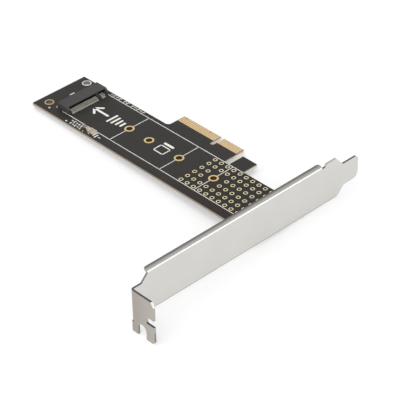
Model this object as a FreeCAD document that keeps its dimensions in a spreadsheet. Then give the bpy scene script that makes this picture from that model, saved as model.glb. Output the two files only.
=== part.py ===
import FreeCAD, Part
import math
import os

import Sketcher

# A card that carries one 22 mm wide solid-state module in an expansion slot of a computer.
# Origin: middle of the key notch, finger tips, solder side of the board.
# +X runs along the card to the slot bracket, +Y out of the finger tips, +Z is the component side.

SIZES = [
    # board
    ("board_thickness", 1.6, "board, solder side to component side"),
    ("end_margin", 13.75, "module stop to the end of the board beyond the module socket"),
    ("end_gap", 0.8, "near end of the board to the inner face of the bracket plate"),
    ("lower_edge", 38.5, "finger tips to the long edge opposite the fingers"),
    ("upper_edge", 9.8, "finger tips to the upper edge beyond the long contact block"),
    ("bracket_side_edge", 11.6, "finger tips to the upper edge beside the bracket"),
    ("key_width", 1.9, "key notch, between the two contact blocks"),
    ("key_depth", 7.1, "key notch, finger tips to its round end"),
    ("long_block", 21.65, "contact block with 21 positions"),
    ("short_block", 11.65, "contact block with 11 positions"),
    ("finger_corner", 1.0, "rounding of the outer finger corners"),
    ("finger_bevel", 0.45, "bevel of the finger tips on both sides"),
    ("shoulder_radius", 1.8, "inside rounding from the upper edge to the long block"),
    ("hook_slot", 2.9, "slot between the short block and the retention hook"),
    ("hook_width", 7.9, "retention hook along the card"),
    ("hook_top", 3.9, "finger tips to the top of the retention hook"),
    # edge contacts
    ("contact_pitch", 1.0, "edge contacts, centre to centre"),
    ("contact_width", 0.7, "edge contact"),
    ("contact_key_offset", 1.5, "key centre to the first contact on either side of it"),
    ("contact_root", 4.55, "finger tips to the inner end of the contacts"),
    ("contact_setback", 0.5, "finger tips to the outer end of the contacts"),
    ("short_contact_setback", 1.8, "finger tips to the outer end of a short contact"),
    ("plating", 0.05, "contacts and lands"),
    ("hole_wall", 0.1, "metal wall of a lined screw hole"),
    ("short_block_contacts", 11, "contacts on one side of the short block"),
    ("long_block_contacts", 21, "contacts on one side of the long block"),
    # module places and holes
    ("module_axis", 22.9, "finger tips to the middle line of the module"),
    ("module_stop", 62.0, "key centre to the end of a seated module"),
    ("shortest_module", 30.0, "module stop to its screw"),
    ("second_module", 42.0, "module stop to its screw"),
    ("third_module", 60.0, "module stop to its screw"),
    ("longest_module", 80.0, "module stop to its screw"),
    ("module_hole", 2.8, "bore of a module screw hole"),
    ("module_land", 4.3, "outside of the gold land round a module screw hole"),
    ("corner_hole", 3.0, "bore of a corner hole"),
    ("corner_land", 4.2, "outside of the tinned land round a corner hole"),
    ("corner_hole_back", 9.0, "corner holes beyond the module stop"),
    ("corner_hole_spacing", 20.8, "between the two corner holes"),
    ("via_hole", 1.0, "cooling hole through the board"),
    ("via_pitch", 3.55, "rows of cooling holes"),
    ("via_rows", 10, "rows of cooling holes"),
    ("first_via_row", 9.25, "key centre to the first row of cooling holes"),
    ("inner_via_column", 2.0, "module middle line to the inner columns"),
    ("middle_via_column", 5.9, "module middle line to the middle columns"),
    ("outer_via_column", 9.45, "module middle line to the outer columns"),
    # module socket
    ("socket_length", 21.9, "housing across the card"),
    ("socket_height", 3.1, "housing above the board"),
    ("socket_back", 2.8, "housing behind the module stop"),
    ("socket_roof", 3.2, "roof in front of the module stop"),
    ("socket_jaw", 4.3, "lower jaw in front of the module stop"),
    ("jaw_height", 0.95, "front of the lower jaw above the board"),
    ("mouth_floor", 1.42, "bottom of the module mouth above the board"),
    ("mouth_height", 0.95, "module mouth"),
    ("cheek_wall", 1.0, "end cheeks of the housing, beside the mouth"),
    ("cheek_slope", 1.1, "drop of the sloping front of the end cheeks"),
    ("jaw_rise_start", 3.2, "module stop to the foot of the slope in the jaw"),
    ("jaw_rise_end", 2.4, "module stop to the top of the slope in the jaw"),
    ("lead_in", 0.25, "lead-in bevel at the front of the roof"),
    ("key_offset", 6.125, "middle line to the key rib of the socket, towards the fingers"),
    ("key_rib", 1.1, "key rib in the module mouth"),
    ("pin_pitch", 0.5, "socket contacts in a row"),
    ("pin_width", 0.22, "socket contact strip"),
    ("pin_thickness", 0.12, "socket contact strip"),
    ("pin_clearance", 0.04, "socket contact strip to the walls of its slot"),
    ("pin_tail", 0.75, "solder tail outside the housing"),
    ("slot_depth", 0.2, "slots of the lower contacts in the top and front of the jaw"),
    ("slot_start", 1.7, "module stop to the inner end of those slots"),
    ("pin_bend", 3.3, "module stop to where a lower contact starts to rise"),
    ("pin_tip", 1.9, "module stop to the tip of a contact"),
    ("pin_margin", 0.65, "cheeks to the outermost contacts, at least"),
    ("hold_down_width", 1.0, "solder plate at the back corners of the socket"),
    ("hold_down_foot", 1.2, "foot of the solder plate on the board"),
    ("hold_down_rise", 1.4, "upright leg of the solder plate"),
    ("hold_down_sheet", 0.2, "sheet of the solder plate"),
    # chip parts
    ("large_chip_length", 3.2, "large capacitor, along the card"),
    ("large_chip_width", 2.7, "large capacitor"),
    ("large_chip_height", 1.2, "large capacitor"),
    ("large_chip_along", 21.2, "module stop to the middle of the large capacitor"),
    ("large_chip_across", 12.7, "middle line to the middle of the large capacitor"),
    ("small_chip_length", 3.2, "small capacitor, along the card"),
    ("small_chip_width", 1.6, "small capacitor"),
    ("small_chip_height", 0.75, "small capacitor"),
    ("small_chip_along", 16.2, "module stop to the middle of the small capacitor"),
    ("small_chip_across", 12.1, "middle line to the middle of the small capacitor"),
    ("chip_cap", 0.55, "metal end of a chip part"),
    ("chip_step", 0.04, "how far a metal end stands proud of its ceramic"),
    # slot bracket
    ("sheet", 0.86, "steel sheet of the bracket"),
    ("bend_radius", 0.45, "inside radius of the folds"),
    ("bracket_face", 57.15, "key centre to the outer face of the bracket plate"),
    ("tab_seat", 100.36, "finger tips to the seating face of the fastening tab"),
    ("bracket_length", 120.02, "outer face of the tab to the end of the tongue"),
    ("plate_width", 18.42, "bracket plate"),
    ("plate_drop", 2.4, "bracket plate below the solder side"),
    ("flange_depth", 2.5, "stiffening flange, from the outer face of the plate"),
    ("flange_start", 8.0, "outer face of the tab to the flange"),
    ("flange_end", 99.5, "outer face of the tab to the other end of the flange"),
    ("flange_corner", 1.0, "rounding of the flange ends"),
    ("neck_length", 5.0, "outer face of the tab to the slanted shoulder"),
    ("neck_top", 11.6, "neck and tab above the solder side"),
    ("nick_place", 100.8, "outer face of the tab to the relief nick beside the flange"),
    ("nick_width", 1.3, "relief nick beside the flange"),
    ("nick_depth", 1.2, "relief nick beside the flange"),
    ("tab_length", 11.43, "tab beyond the outer face of the plate"),
    ("tab_drop", 7.5, "tab below the solder side"),
    ("tab_bevel_along", 1.3, "bevel at the outer top corner of the tab"),
    ("tab_bevel_down", 2.2, "bevel at the outer top corner of the tab"),
    ("tab_notch_depth", 3.9, "notch in the outer edge of the tab"),
    ("tab_notch_top", 3.4, "top of the notch above the solder side"),
    ("tab_notch_height", 3.0, "notch in the outer edge of the tab"),
    ("tab_relief", 0.4, "relief cut under the fold of the tab"),
    ("foot_start", 0.3, "inner face of the plate to the foot beside the screw slot"),
    ("foot_corner", 1.4, "rounding of the outer foot"),
    ("screw_slot", 4.42, "fastening slot of the tab"),
    ("screw_slot_offset", 5.75, "inner face of the plate to the middle of the slot"),
    ("screw_slot_top", 1.9, "round end of the slot below the solder side"),
    ("tongue_width", 10.19, "tongue at the end of the plate"),
    ("tongue_bottom", 1.35, "tongue above the solder side"),
    ("tongue_slant_start", 107.3, "outer face of the tab to the upper slant"),
    ("tongue_slant_end", 111.3, "outer face of the tab to the foot of the upper slant"),
    ("tongue_root", 112.1, "outer face of the tab to the lower root of the tongue"),
    ("plate_bottom_end", 108.2, "outer face of the tab to the end of the plate's lower edge"),
    ("tongue_top_corner", 1.9, "rounding of the tongue"),
    ("tongue_bottom_corner", 2.8, "rounding of the tongue"),
    ("plate_corner", 1.8, "rounding of the plate's lower corner"),
    # bracket ears and screws
    ("ear_width", 8.5, "ear along the bracket"),
    ("ear_reach", 11.5, "inner face of the plate to the end of an ear"),
    ("ear_inset", 5.6, "long edges of the board to the middle of the ears"),
    ("ear_hole_place", 6.9, "inner face of the plate to the ear screws"),
    ("ear_corner", 1.5, "rounding of the ears"),
    ("ear_bore", 2.6, "tapped hole of an ear"),
    ("board_screw_hole", 3.2, "screw hole in the board"),
    ("screw_shank", 2.5, "ear screw"),
    ("screw_length", 3.6, "ear screw under its head"),
    ("screw_head", 5.2, "ear screw"),
    ("screw_head_height", 1.7, "ear screw"),
    ("screw_dome", 0.7, "bevelled top of the screw head"),
    ("recess_span", 2.9, "cross recess"),
    ("recess_width", 0.6, "cross recess"),
    ("recess_depth", 1.0, "cross recess"),
]

# places that follow from the sizes, as formulas that sketches and features are bound to
PLATE_INNER = "(Sizes.bracket_face - Sizes.sheet)"
BOARD_START = "(-Sizes.module_stop - Sizes.end_margin)"
BOARD_END = "(Sizes.bracket_face - Sizes.sheet - Sizes.end_gap)"
TAB_FACE = "(-Sizes.tab_seat - Sizes.sheet)"
PLATE_BOTTOM = "(-Sizes.plate_drop)"
PLATE_TOP = "(Sizes.plate_width - Sizes.plate_drop)"
TAB_EDGE = "(Sizes.bracket_face + Sizes.tab_length)"
TAB_FOLD = "(-Sizes.tab_seat + Sizes.bend_radius)"
FLANGE_FOLD = "(Sizes.plate_width - Sizes.plate_drop - Sizes.sheet - Sizes.bend_radius)"
FLANGE_START = "(-Sizes.tab_seat - Sizes.sheet + Sizes.flange_start)"
FLANGE_STOP = "(-Sizes.tab_seat - Sizes.sheet + Sizes.flange_end)"
HALF_KEY = "(Sizes.key_width / 2)"
TONGUE_TOP = "(Sizes.tongue_bottom + Sizes.tongue_width)"
LOWER_EAR = "(-Sizes.lower_edge + Sizes.ear_inset)"
UPPER_EAR = "(-Sizes.bracket_side_edge - Sizes.ear_inset)"
EAR_SCREW = "(Sizes.bracket_face - Sizes.sheet - Sizes.ear_hole_place)"
VIA_SIDES = 8
LAND_SIDES = 24
MODULE_PLACES = ["shortest_module", "second_module", "third_module", "longest_module"]

doc = FreeCAD.newDocument("ModuleAdapterCard")
sheet = doc.addObject("Spreadsheet::Sheet", "Sizes")
for row, (alias, millimetres, meaning) in enumerate(SIZES, start=1):
    sheet.set(f"A{row}", meaning)
    sheet.set(f"B{row}", str(millimetres))
    sheet.setAlias(f"B{row}", alias)
doc.recompute()


def value(formula):
    """The number that a formula of named sizes gives."""
    return float(sheet.evalExpression(formula))


def size(alias):
    """One named size as a number."""
    return float(sheet.get(alias))


def new_body(label):
    """An empty body with the name of its piece."""
    body = doc.addObject("PartDesign::Body", "Body_" + label)
    body.Label = label
    return body


def new_sketch(body, name, role, height="0"):
    """An empty sketch on one of the body's own origin planes, raised along the plane's normal."""
    sketch = body.newObject("Sketcher::SketchObject", name)
    plane = [feature for feature in body.Origin.OriginFeatures if feature.Role == role][0]
    sketch.AttachmentSupport = [(plane, "")]
    sketch.MapMode = "FlatFace"
    sketch.setExpression("AttachmentOffset.Base.z", height)
    return sketch


def bind(sketch, kind, places, formula):
    """A dimension of a sketch that follows a formula."""
    index = sketch.addConstraint(Sketcher.Constraint(kind, *places, value(formula)))
    sketch.setExpression(f"Constraints[{index}]", formula)


def draw_outline(sketch, corners):
    """A closed outline of straight edges. Each corner is a pair of formulas."""
    points = [FreeCAD.Vector(value(across), value(up), 0) for across, up in corners]
    first = sketch.GeometryCount
    count = len(points)
    for index in range(count):
        line = Part.LineSegment(points[index], points[(index + 1) % count])
        sketch.addGeometry(line, False)
    for index in range(count):
        following = first + (index + 1) % count
        sketch.addConstraint(Sketcher.Constraint("Coincident", first + index, 2, following, 1))
    for index, (across, up) in enumerate(corners):
        bind(sketch, "DistanceX", (-1, 1, first + index, 1), across)
        bind(sketch, "DistanceY", (-1, 1, first + index, 1), up)


def draw_circle(sketch, across, up, diameter):
    """A circle whose middle and diameter follow formulas."""
    middle = FreeCAD.Vector(value(across), value(up), 0)
    circle = Part.Circle(middle, FreeCAD.Vector(0, 0, 1), value(diameter) / 2)
    index = sketch.addGeometry(circle, False)
    bind(sketch, "DistanceX", (-1, 1, index, 3), across)
    bind(sketch, "DistanceY", (-1, 1, index, 3), up)
    bind(sketch, "Diameter", (index,), diameter)


def draw_fold(sketch, across, up, quarter):
    """The section of a fold: a quarter ring as thick as the sheet round a point, in one of four quarters."""
    middle = FreeCAD.Vector(value(across), value(up), 0)
    start = quarter * math.pi / 2
    radii = ("Sizes.bend_radius", "(Sizes.bend_radius + Sizes.sheet)")
    arcs = []
    for radius in radii:
        circle = Part.Circle(middle, FreeCAD.Vector(0, 0, 1), value(radius))
        arcs.append(sketch.addGeometry(Part.ArcOfCircle(circle, start, start + math.pi / 2), False))
        bind(sketch, "Radius", (arcs[-1],), radius)
    inner, outer = arcs
    bind(sketch, "DistanceX", (-1, 1, inner, 3), across)
    bind(sketch, "DistanceY", (-1, 1, inner, 3), up)
    sketch.addConstraint(Sketcher.Constraint("Coincident", inner, 3, outer, 3))
    along = ("Horizontal", "Vertical") if quarter % 2 == 0 else ("Vertical", "Horizontal")
    ring = {arc: sketch.Geometry[arc] for arc in arcs}
    for end, direction in zip((1, 2), along):
        points = [ring[arc].StartPoint if end == 1 else ring[arc].EndPoint for arc in arcs]
        closing = sketch.addGeometry(Part.LineSegment(*points), False)
        sketch.addConstraint(Sketcher.Constraint("Coincident", inner, end, closing, 1))
        sketch.addConstraint(Sketcher.Constraint("Coincident", outer, end, closing, 2))
        for arc in arcs:
            sketch.addConstraint(Sketcher.Constraint(direction, arc, 3, arc, end))


def add_pad(body, name, sketch, length, reverse=False):
    """Material from a sketch along its normal, or against it."""
    pad = body.newObject("PartDesign::Pad", name)
    pad.Profile = sketch
    pad.setExpression("Length", length)
    pad.Reversed = reverse
    sketch.Visibility = False
    doc.recompute()
    return pad


def add_through_cut(body, name, sketch):
    """A cut through all material on both sides of a sketch, which has to take something away."""
    before = body.Shape.Volume
    pocket = body.newObject("PartDesign::Pocket", name)
    pocket.Profile = sketch
    pocket.Type = "ThroughAll"
    pocket.Midplane = True
    doc.recompute()
    if body.Shape.Volume >= before:
        raise ValueError(name + " cuts nothing")
    return pocket


def edges_along(feature, axis, places, span=None):
    """Names of a feature's straight edges that run along an axis (0, 1, 2) through given places.

    A span keeps only edges whose middle lies between its two values on that axis.
    """
    names = []
    others = [other for other in range(3) if other != axis]
    for number, edge in enumerate(feature.Shape.Edges, start=1):
        ends = [edge.Vertexes[0].Point, edge.Vertexes[-1].Point]
        for place in places:
            near = all(abs(end[other] - at) < 1e-4 for end in ends for other, at in zip(others, place))
            middle = (ends[0][axis] + ends[1][axis]) / 2
            inside = span is None or span[0] < middle < span[1]
            if near and inside and edge.Length > 1e-3:
                names.append(f"Edge{number}")
    if len(names) < len(places):
        raise ValueError(f"{feature.Name}: {len(names)} edges found at {len(places)} places")
    return names


def add_fillet(body, name, base, axis, places, radius, span=None):
    """Rounds the straight edges of a feature that lie at given places."""
    fillet = body.newObject("PartDesign::Fillet", name)
    fillet.Base = (base, edges_along(base, axis, places, span))
    fillet.setExpression("Radius", radius)
    doc.recompute()
    return fillet


def put(piece, *place):
    """Places a piece by formulas for its x, y and z."""
    for axis, formula in zip("xyz", place):
        piece.setExpression("Placement.Base." + axis, formula)


def add_box(name, corner, extent):
    """A box whose lowest corner and three lengths follow formulas."""
    box = doc.addObject("Part::Box", name)
    for side, formula in zip(("Length", "Width", "Height"), extent):
        box.setExpression(side, formula)
    put(box, *corner)
    return box


def add_prism(name, sides, radius, height, place):
    """An upright prism whose corner radius, height and middle follow formulas."""
    shape = doc.addObject("Part::Prism", name)
    shape.Polygon = sides
    shape.setExpression("Circumradius", radius)
    shape.setExpression("Height", height)
    put(shape, *place)
    return shape


def add_cylinder(name, radius, height, place):
    """An upright cylinder whose radius, height and middle follow formulas."""
    shape = doc.addObject("Part::Cylinder", name)
    shape.setExpression("Radius", radius)
    shape.setExpression("Height", height)
    put(shape, *place)
    return shape


def add_group(label, pieces):
    """Like pieces that share one node."""
    group = doc.addObject("Part::Compound", "Group_" + label)
    group.Label = label
    group.Links = pieces
    return group


def via_places():
    """Middles of the cooling holes, without those that a module screw land would touch."""
    columns = []
    for column in ("inner_via_column", "middle_via_column", "outer_via_column"):
        columns += [f"(-Sizes.module_axis + Sizes.{column})", f"(-Sizes.module_axis - Sizes.{column})"]
    keep_off = size("module_land") / 2 + size("via_hole")
    places = []
    for row in range(int(size("via_rows"))):
        along = f"(Sizes.first_via_row + {row} * Sizes.via_pitch)"
        for across in columns:
            gaps = [
                math.hypot(
                    value(along) - size(module) + size("module_stop"),
                    value(across) + size("module_axis"),
                )
                for module in MODULE_PLACES
            ]
            if min(gaps) > keep_off:
                places.append((along, across))
    return places


def plated_holes():
    """Name, place, bore and land of each hole that is lined with metal."""
    axis = "(-Sizes.module_axis)"
    holes = []
    for module in MODULE_PLACES:
        along = f"(Sizes.{module} - Sizes.module_stop)"
        name = f"plated_hole_{size(module):.0f}"
        holes.append((name, along, axis, "Sizes.module_hole", "Sizes.module_land"))
    for name, sign in (("corner_hole_lower", "-"), ("corner_hole_upper", "+")):
        along = "(-Sizes.module_stop - Sizes.corner_hole_back)"
        across = f"(-Sizes.module_axis {sign} Sizes.corner_hole_spacing / 2)"
        holes.append((name, along, across, "Sizes.corner_hole", "Sizes.corner_land"))
    return holes


def build_board():
    """The bare board: outline with its contact blocks, retention hook, bevels and holes."""
    body = new_body("board_without_vias")
    outline = new_sketch(body, "BoardOutline", "XY_Plane")
    long_side = f"(-{HALF_KEY} - Sizes.long_block)"
    short_side = f"({HALF_KEY} + Sizes.short_block)"
    hook_start = f"({short_side} + Sizes.hook_slot)"
    hook_stop = f"({hook_start} + Sizes.hook_width)"
    corners = [
        (BOARD_START, "-Sizes.lower_edge"),
        (BOARD_END, "-Sizes.lower_edge"),
        (BOARD_END, "-Sizes.bracket_side_edge"),
        (hook_stop, "-Sizes.bracket_side_edge"),
        (hook_stop, "-Sizes.hook_top"),
        (hook_start, "-Sizes.hook_top"),
        (hook_start, "-Sizes.bracket_side_edge"),
        (short_side, "-Sizes.bracket_side_edge"),
        (short_side, "0"),
        (HALF_KEY, "0"),
        (HALF_KEY, f"(-Sizes.key_depth + {HALF_KEY})"),
        (f"(-{HALF_KEY})", f"(-Sizes.key_depth + {HALF_KEY})"),
        (f"(-{HALF_KEY})", "0"),
        (long_side, "0"),
        (long_side, "-Sizes.upper_edge"),
        (BOARD_START, "-Sizes.upper_edge"),
    ]
    draw_outline(outline, corners)
    blank = add_pad(body, "BoardBlank", outline, "Sizes.board_thickness")

    fingers = [(value(long_side), 0), (value(short_side), 0)]
    rounded = add_fillet(body, "FingerCorners", blank, 2, fingers, "Sizes.finger_corner")
    shoulder = [(value(long_side), -size("upper_edge"))]
    rounded = add_fillet(body, "Shoulder", rounded, 2, shoulder, "Sizes.shoulder_radius")

    bevel = new_sketch(body, "TipBevels", "YZ_Plane")
    past = "(Sizes.finger_bevel / 4)"
    inner = f"(-Sizes.finger_bevel - {past})"
    for face, inward in (("0", "+"), ("Sizes.board_thickness", "-")):
        outward = "-" if inward == "+" else "+"
        tip = f"({face} {inward} Sizes.finger_bevel {inward} {past})"
        outside = f"({face} {outward} {past})"
        draw_outline(bevel, [(inner, outside), (past, tip), (past, outside)])
    add_through_cut(body, "FingerBevels", bevel)

    holes = new_sketch(body, "BoardHoles", "XY_Plane")
    draw_circle(holes, "0", f"(-Sizes.key_depth + {HALF_KEY})", "Sizes.key_width")
    for across in (LOWER_EAR, UPPER_EAR):
        draw_circle(holes, EAR_SCREW, across, "Sizes.board_screw_hole")
    add_through_cut(body, "ScrewHoles", holes)

    board = doc.addObject("Part::Cut", "Board")
    board.Label = "circuit_board"
    board.Base = body
    board.Tool = build_drills()
    doc.recompute()
    if board.Shape.Volume >= body.Shape.Volume:
        raise ValueError("the drilled holes cut nothing")
    return board


def build_drills():
    """Prisms through the board: eight-sided cooling holes, and the drilled holes that metal lines.

    The flats of a cooling hole lie on its diameter. A drilled hole has the outline of its metal.
    """
    flats = f"Sizes.via_hole / 2 * {1 / math.cos(math.pi / VIA_SIDES):.6f}"
    drills = [(along, across, VIA_SIDES, flats) for along, across in via_places()]
    for _, along, across, bore, _ in plated_holes():
        drills.append((along, across, LAND_SIDES, f"{bore} / 2 + Sizes.hole_wall"))
    tools = []
    for number, (along, across, sides, radius) in enumerate(drills, start=1):
        place = (along, across, "-Sizes.board_thickness")
        tools.append(add_prism(f"Drill{number}", sides, radius, "3 * Sizes.board_thickness", place))
    return add_group("drilled_holes", tools)


def build_edge_contacts(label, short_positions, floor):
    """One side's gold contacts. Position 1 is the one nearest to the bracket."""
    pieces = []
    near = int(size("short_block_contacts"))
    total = near + int(size("long_block_contacts"))
    for position in range(1, total + 1):
        if position <= near:
            steps = near - position
            middle = f"(Sizes.contact_key_offset + {steps} * Sizes.contact_pitch)"
        else:
            steps = position - near - 1
            middle = f"(-Sizes.contact_key_offset - {steps} * Sizes.contact_pitch)"
        short = position in short_positions
        setback = "Sizes.short_contact_setback" if short else "Sizes.contact_setback"
        corner = (f"{middle} - Sizes.contact_width / 2", "-Sizes.contact_root", floor)
        extent = ("Sizes.contact_width", f"Sizes.contact_root - {setback}", "Sizes.plating")
        pieces.append(add_box(f"Contact_{label}_{position}", corner, extent))
    return add_group(label, pieces)


def build_plated_hole(label, along, across, bore, land):
    """The metal of a plated hole: its round wall and a flat land on each side, in one piece."""
    below = "-Sizes.plating"
    height = "Sizes.board_thickness + 2 * Sizes.plating"
    wall = f"{bore} / 2 + Sizes.hole_wall"
    parts = [add_prism("Wall_" + label, LAND_SIDES, wall, height, (along, across, below))]
    for side, floor in (("under", below), ("over", "Sizes.board_thickness")):
        place = (along, across, floor)
        name = f"Land_{label}_{side}"
        parts.append(add_prism(name, LAND_SIDES, f"{land} / 2", "Sizes.plating", place))
    metal = doc.addObject("Part::MultiFuse", "Metal_" + label)
    metal.Shapes = parts
    metal.Refine = True
    hole = doc.addObject("Part::Cut", "Plated_" + label)
    hole.Label = label
    hole.Base = metal
    hole.Tool = add_cylinder("Bore_" + label, f"{bore} / 2", height, (along, across, below))
    hole.Refine = True
    return hole


def pin_offsets(row):
    """Places of a row's contacts across the card from the module's middle line, key gap left out."""
    pitch = size("pin_pitch")
    reach = size("socket_length") / 2 - size("cheek_wall") - size("pin_margin")
    stagger = pitch / 2 if row == "upper" else 0
    steps = int((reach - stagger) / pitch)
    places = [stagger + step * pitch for step in range(-steps - (1 if stagger else 0), steps + 1)]
    return [place for place in places if abs(place - size("key_offset")) > 2 * pitch]


def strip(points, thickness):
    """Closed outline of a bent strip: its middle line, moved half the thickness to either side."""
    left, right = [], []
    for index, (along, up) in enumerate(points):
        before = points[max(index - 1, 0)]
        after = points[min(index + 1, len(points) - 1)]
        turn_in = math.atan2(up - before[1], along - before[0]) if index else None
        turn_out = math.atan2(after[1] - up, after[0] - along) if index < len(points) - 1 else None
        turn_in = turn_out if turn_in is None else turn_in
        turn_out = turn_in if turn_out is None else turn_out
        middle = (turn_in + turn_out) / 2
        reach = thickness / 2 / math.cos((turn_out - turn_in) / 2)
        left.append((along - reach * math.sin(middle), up + reach * math.cos(middle)))
        right.append((along + reach * math.sin(middle), up - reach * math.cos(middle)))
    return left + right[::-1]


def pin_path(row):
    """Middle line of a contact, as distances in front of the module stop and above the board."""
    half = size("pin_thickness") / 2
    gap = size("pin_clearance")
    ceiling = size("mouth_floor") + size("mouth_height")
    if row == "lower":
        front = size("socket_jaw") - size("slot_depth") + gap + half
        bed = size("jaw_height") - size("slot_depth") + gap + half
        return [
            (front + size("pin_tail"), half),
            (front, half),
            (front, bed),
            (size("pin_bend"), bed),
            (size("pin_tip"), size("mouth_floor") + half),
        ]
    back = -size("socket_back") - gap - half
    bed = ceiling + gap + half
    return [
        (back - size("pin_tail"), half),
        (back, half),
        (back, bed),
        (size("pin_tip"), bed),
    ]


def place_in_row_frame(along, across, up):
    """From the module stop, the module's middle line and the component side to the card's frame."""
    return FreeCAD.Vector(
        along - size("module_stop"),
        across - size("module_axis"),
        up + size("board_thickness"),
    )


def extrude_across(outline, middle, width):
    """A flat outline that faces across the card, given a width on both sides of its middle."""
    corners = [place_in_row_frame(along, middle - width / 2, up) for along, up in outline]
    face = Part.Face(Part.makePolygon(corners + corners[:1]))
    return face.extrude(FreeCAD.Vector(0, width, 0))


def build_socket_contacts(label, row):
    """A row of bent contact strips, each a piece of its own."""
    outline = strip(pin_path(row), size("pin_thickness"))
    pins = [extrude_across(outline, offset, size("pin_width")) for offset in pin_offsets(row)]
    feature = doc.addObject("Part::Feature", "Feature_" + label)
    feature.Label = label
    feature.Shape = Part.makeCompound(pins)
    return feature


def build_socket_housing():
    """The moulded socket: roof, mouth with its key rib, slotted lower jaw and end cheeks."""
    back = -size("socket_back")
    roof = size("socket_roof")
    jaw = size("socket_jaw")
    jaw_height = size("jaw_height")
    height = size("socket_height")
    floor = size("mouth_floor")
    ceiling = floor + size("mouth_height")
    lead_in = size("lead_in")
    gap = size("pin_clearance")
    slot = size("pin_width") + 2 * gap
    strip_room = size("pin_thickness") + 2 * gap
    beyond = 1.0  # how far cutting shapes reach past the housing

    cheek = [(back, 0), (jaw, 0), (jaw, height - size("cheek_slope")), (roof, height), (back, height)]
    block = extrude_across(cheek, 0, size("socket_length"))

    # the mouth opens to the front and above the jaw, and ends at the module stop
    opening = [
        (0, floor),
        (size("jaw_rise_end"), floor),
        (size("jaw_rise_start"), jaw_height),
        (jaw + beyond, jaw_height),
        (jaw + beyond, height + beyond),
        (roof, height + beyond),
        (roof, ceiling + lead_in),
        (roof - 2 * lead_in, ceiling),
        (0, ceiling),
    ]
    block = block.cut(extrude_across(opening, 0, size("socket_length") - 2 * size("cheek_wall")))

    # the upper contacts lie in a channel over the mouth, one on each side of the key
    channel = [
        (back - beyond, ceiling),
        (roof + beyond, ceiling),
        (roof + beyond, ceiling + strip_room),
        (back - beyond, ceiling + strip_room),
    ]
    upper = pin_offsets("upper")
    near = [place for place in upper if place < size("key_offset")]
    far = [place for place in upper if place > size("key_offset")]
    for places in (near, far):
        middle = (places[0] + places[-1]) / 2
        block = block.cut(extrude_across(channel, middle, places[-1] - places[0] + slot))

    # one slot for each lower contact, along the top of the jaw and down its front
    bed = jaw_height - size("slot_depth")
    face = jaw - size("slot_depth")
    groove = [
        (size("slot_start"), bed),
        (face, bed),
        (face, -beyond),
        (jaw + beyond, -beyond),
        (jaw + beyond, ceiling),
        (size("slot_start"), ceiling),
    ]
    grooves = [extrude_across(groove, offset, slot) for offset in pin_offsets("lower")]
    block = block.cut(Part.makeCompound(grooves))

    # the key rib closes the mouth where the module has its notch
    rib = [
        (-gap, jaw_height - lead_in),
        (roof - 2 * lead_in, jaw_height - lead_in),
        (roof - 2 * lead_in, ceiling + lead_in),
        (-gap, ceiling + lead_in),
    ]
    block = block.fuse(extrude_across(rib, size("key_offset"), size("key_rib")))

    feature = doc.addObject("Part::Feature", "Feature_socket_housing")
    feature.Label = "socket_housing"
    feature.Shape = block.removeSplitter()
    return feature


def build_hold_down(label, sign):
    """A bent solder plate behind one end of the socket."""
    thickness = size("hold_down_sheet")
    leg = -size("socket_back") - thickness / 2
    points = [
        (leg - size("hold_down_foot"), thickness / 2),
        (leg, thickness / 2),
        (leg, size("hold_down_rise")),
    ]
    outline = strip(points, thickness)
    middle = sign * (size("socket_length") - size("hold_down_width")) / 2
    feature = doc.addObject("Part::Feature", "Feature_" + label)
    feature.Label = label
    feature.Shape = extrude_across(outline, middle, size("hold_down_width"))
    return feature


def build_chip(name):
    """A ceramic chip part with two metal ends: the ceramic and the pair of ends."""
    along = f"(Sizes.{name}_along - Sizes.module_stop)"
    across = f"(-Sizes.module_axis - Sizes.{name}_across)"
    length = f"Sizes.{name}_length"
    width = f"Sizes.{name}_width"
    height = f"Sizes.{name}_height"
    body_corner = (
        f"{along} - {length} / 2 + Sizes.chip_cap",
        f"{across} - {width} / 2 + Sizes.chip_step",
        "Sizes.board_thickness + Sizes.chip_step",
    )
    body_extent = (
        f"{length} - 2 * Sizes.chip_cap",
        f"{width} - 2 * Sizes.chip_step",
        f"{height} - 2 * Sizes.chip_step",
    )
    ceramic = add_box("Ceramic_" + name, body_corner, body_extent)
    ceramic.Label = name + "_ceramic"
    ends = []
    for number, start in enumerate((f"- {length} / 2", f"+ {length} / 2 - Sizes.chip_cap")):
        corner = (f"{along} {start}", f"{across} - {width} / 2", "Sizes.board_thickness")
        ends.append(add_box(f"End_{name}_{number}", corner, ("Sizes.chip_cap", width, height)))
    return ceramic, add_group(name + "_ends", ends)


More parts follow.
